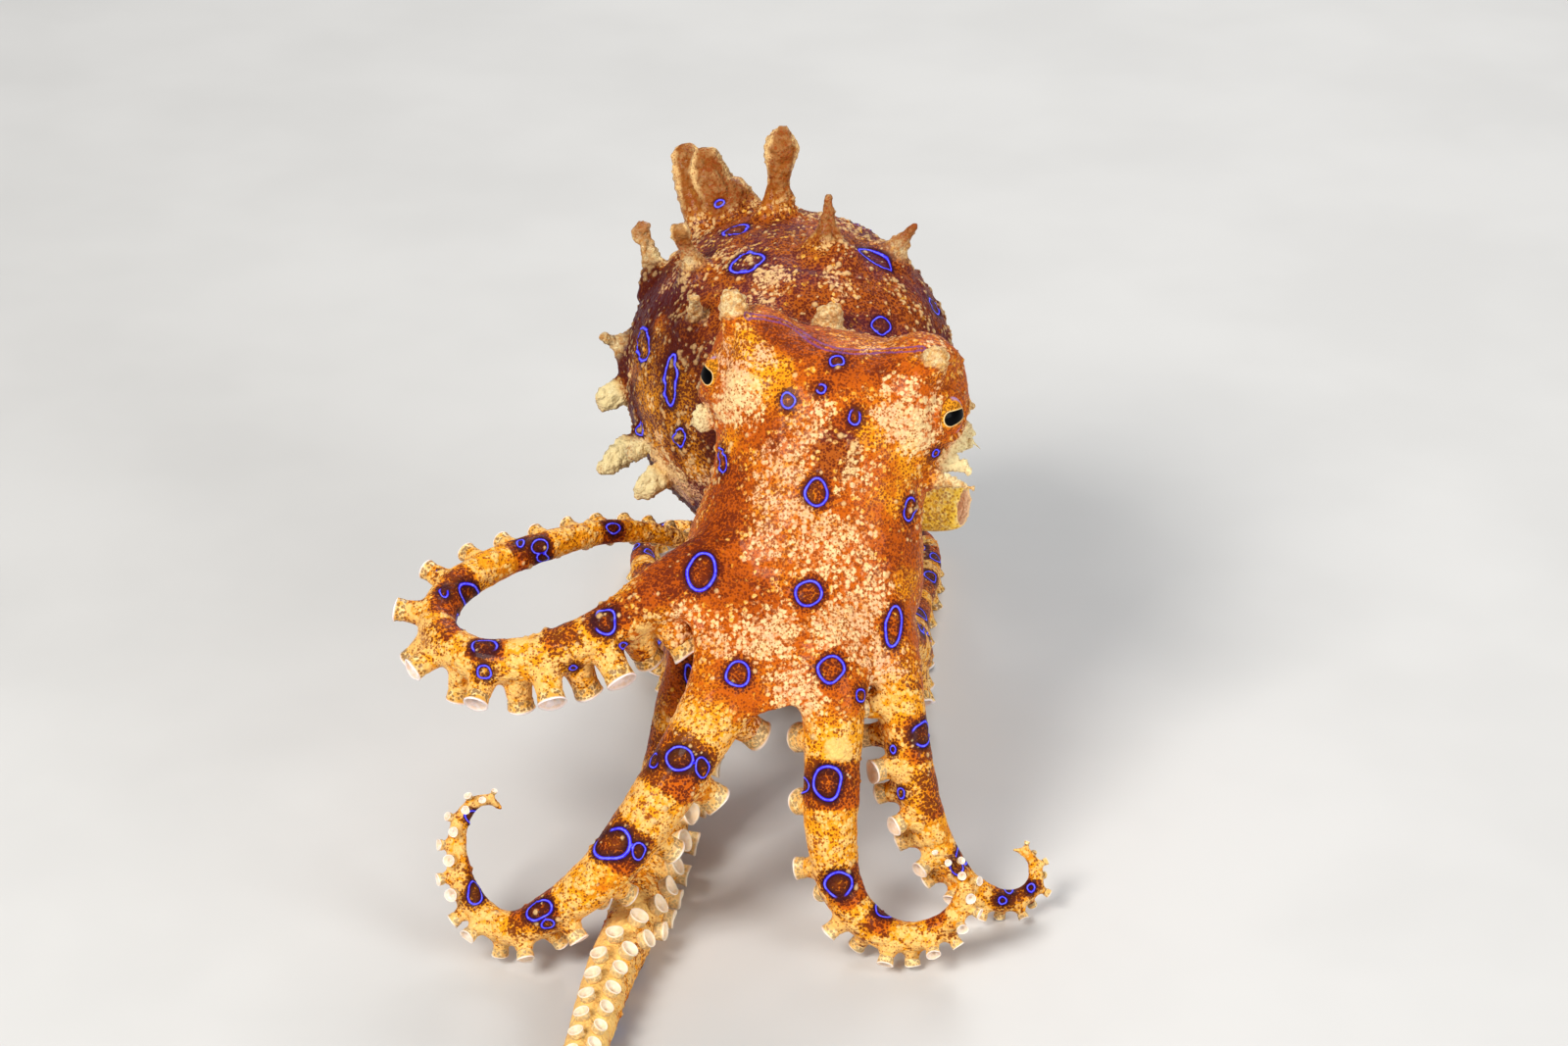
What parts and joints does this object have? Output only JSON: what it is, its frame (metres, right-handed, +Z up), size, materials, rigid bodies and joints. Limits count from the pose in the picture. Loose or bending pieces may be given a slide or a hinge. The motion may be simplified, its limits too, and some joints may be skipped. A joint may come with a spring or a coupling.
{
  "type": "blue ringed octopus",
  "caption": "Small octopus standing on its curled arms with a papilla-covered mantle held out behind the head, a funnel at its left side and suckers along every arm.",
  "frame": {"origin": "centre of the bounding box, on the floor that the arms rest on", "axes": "+Z up, -Y the way the animal faces, +X its left side"},
  "size_m": [0.0534, 0.11, 0.0528],
  "materials": {
    "skin": "satin",
    "eye": "gloss"
  },
  "bodies": {
    "root": {"head": "skin", "eye_left": "eye", "eye_right": "eye", "mantle": "skin", "funnel": "skin", "arm_crown": "skin", "arm_left_1_base": "skin", "arm_left_1_middle": "skin", "arm_left_1_tip": "skin", "arm_left_2_base": "skin", "arm_left_2_middle": "skin", "arm_left_2_tip": "skin", "arm_left_3_base": "skin", "arm_left_3_middle": "skin", "arm_left_3_tip": "skin", "arm_left_4_base": "skin", "arm_left_4_middle": "skin", "arm_left_4_tip": "skin", "arm_right_1_base": "skin", "arm_right_1_middle": "skin", "arm_right_1_tip": "skin", "arm_right_2_base": "skin", "arm_right_2_middle": "skin", "arm_right_2_tip": "skin", "arm_right_3_base": "skin", "arm_right_3_middle": "skin", "arm_right_3_tip": "skin", "arm_right_4_base": "skin", "arm_right_4_middle": "skin", "arm_right_4_tip": "skin"}
  },
  "joints": []
}
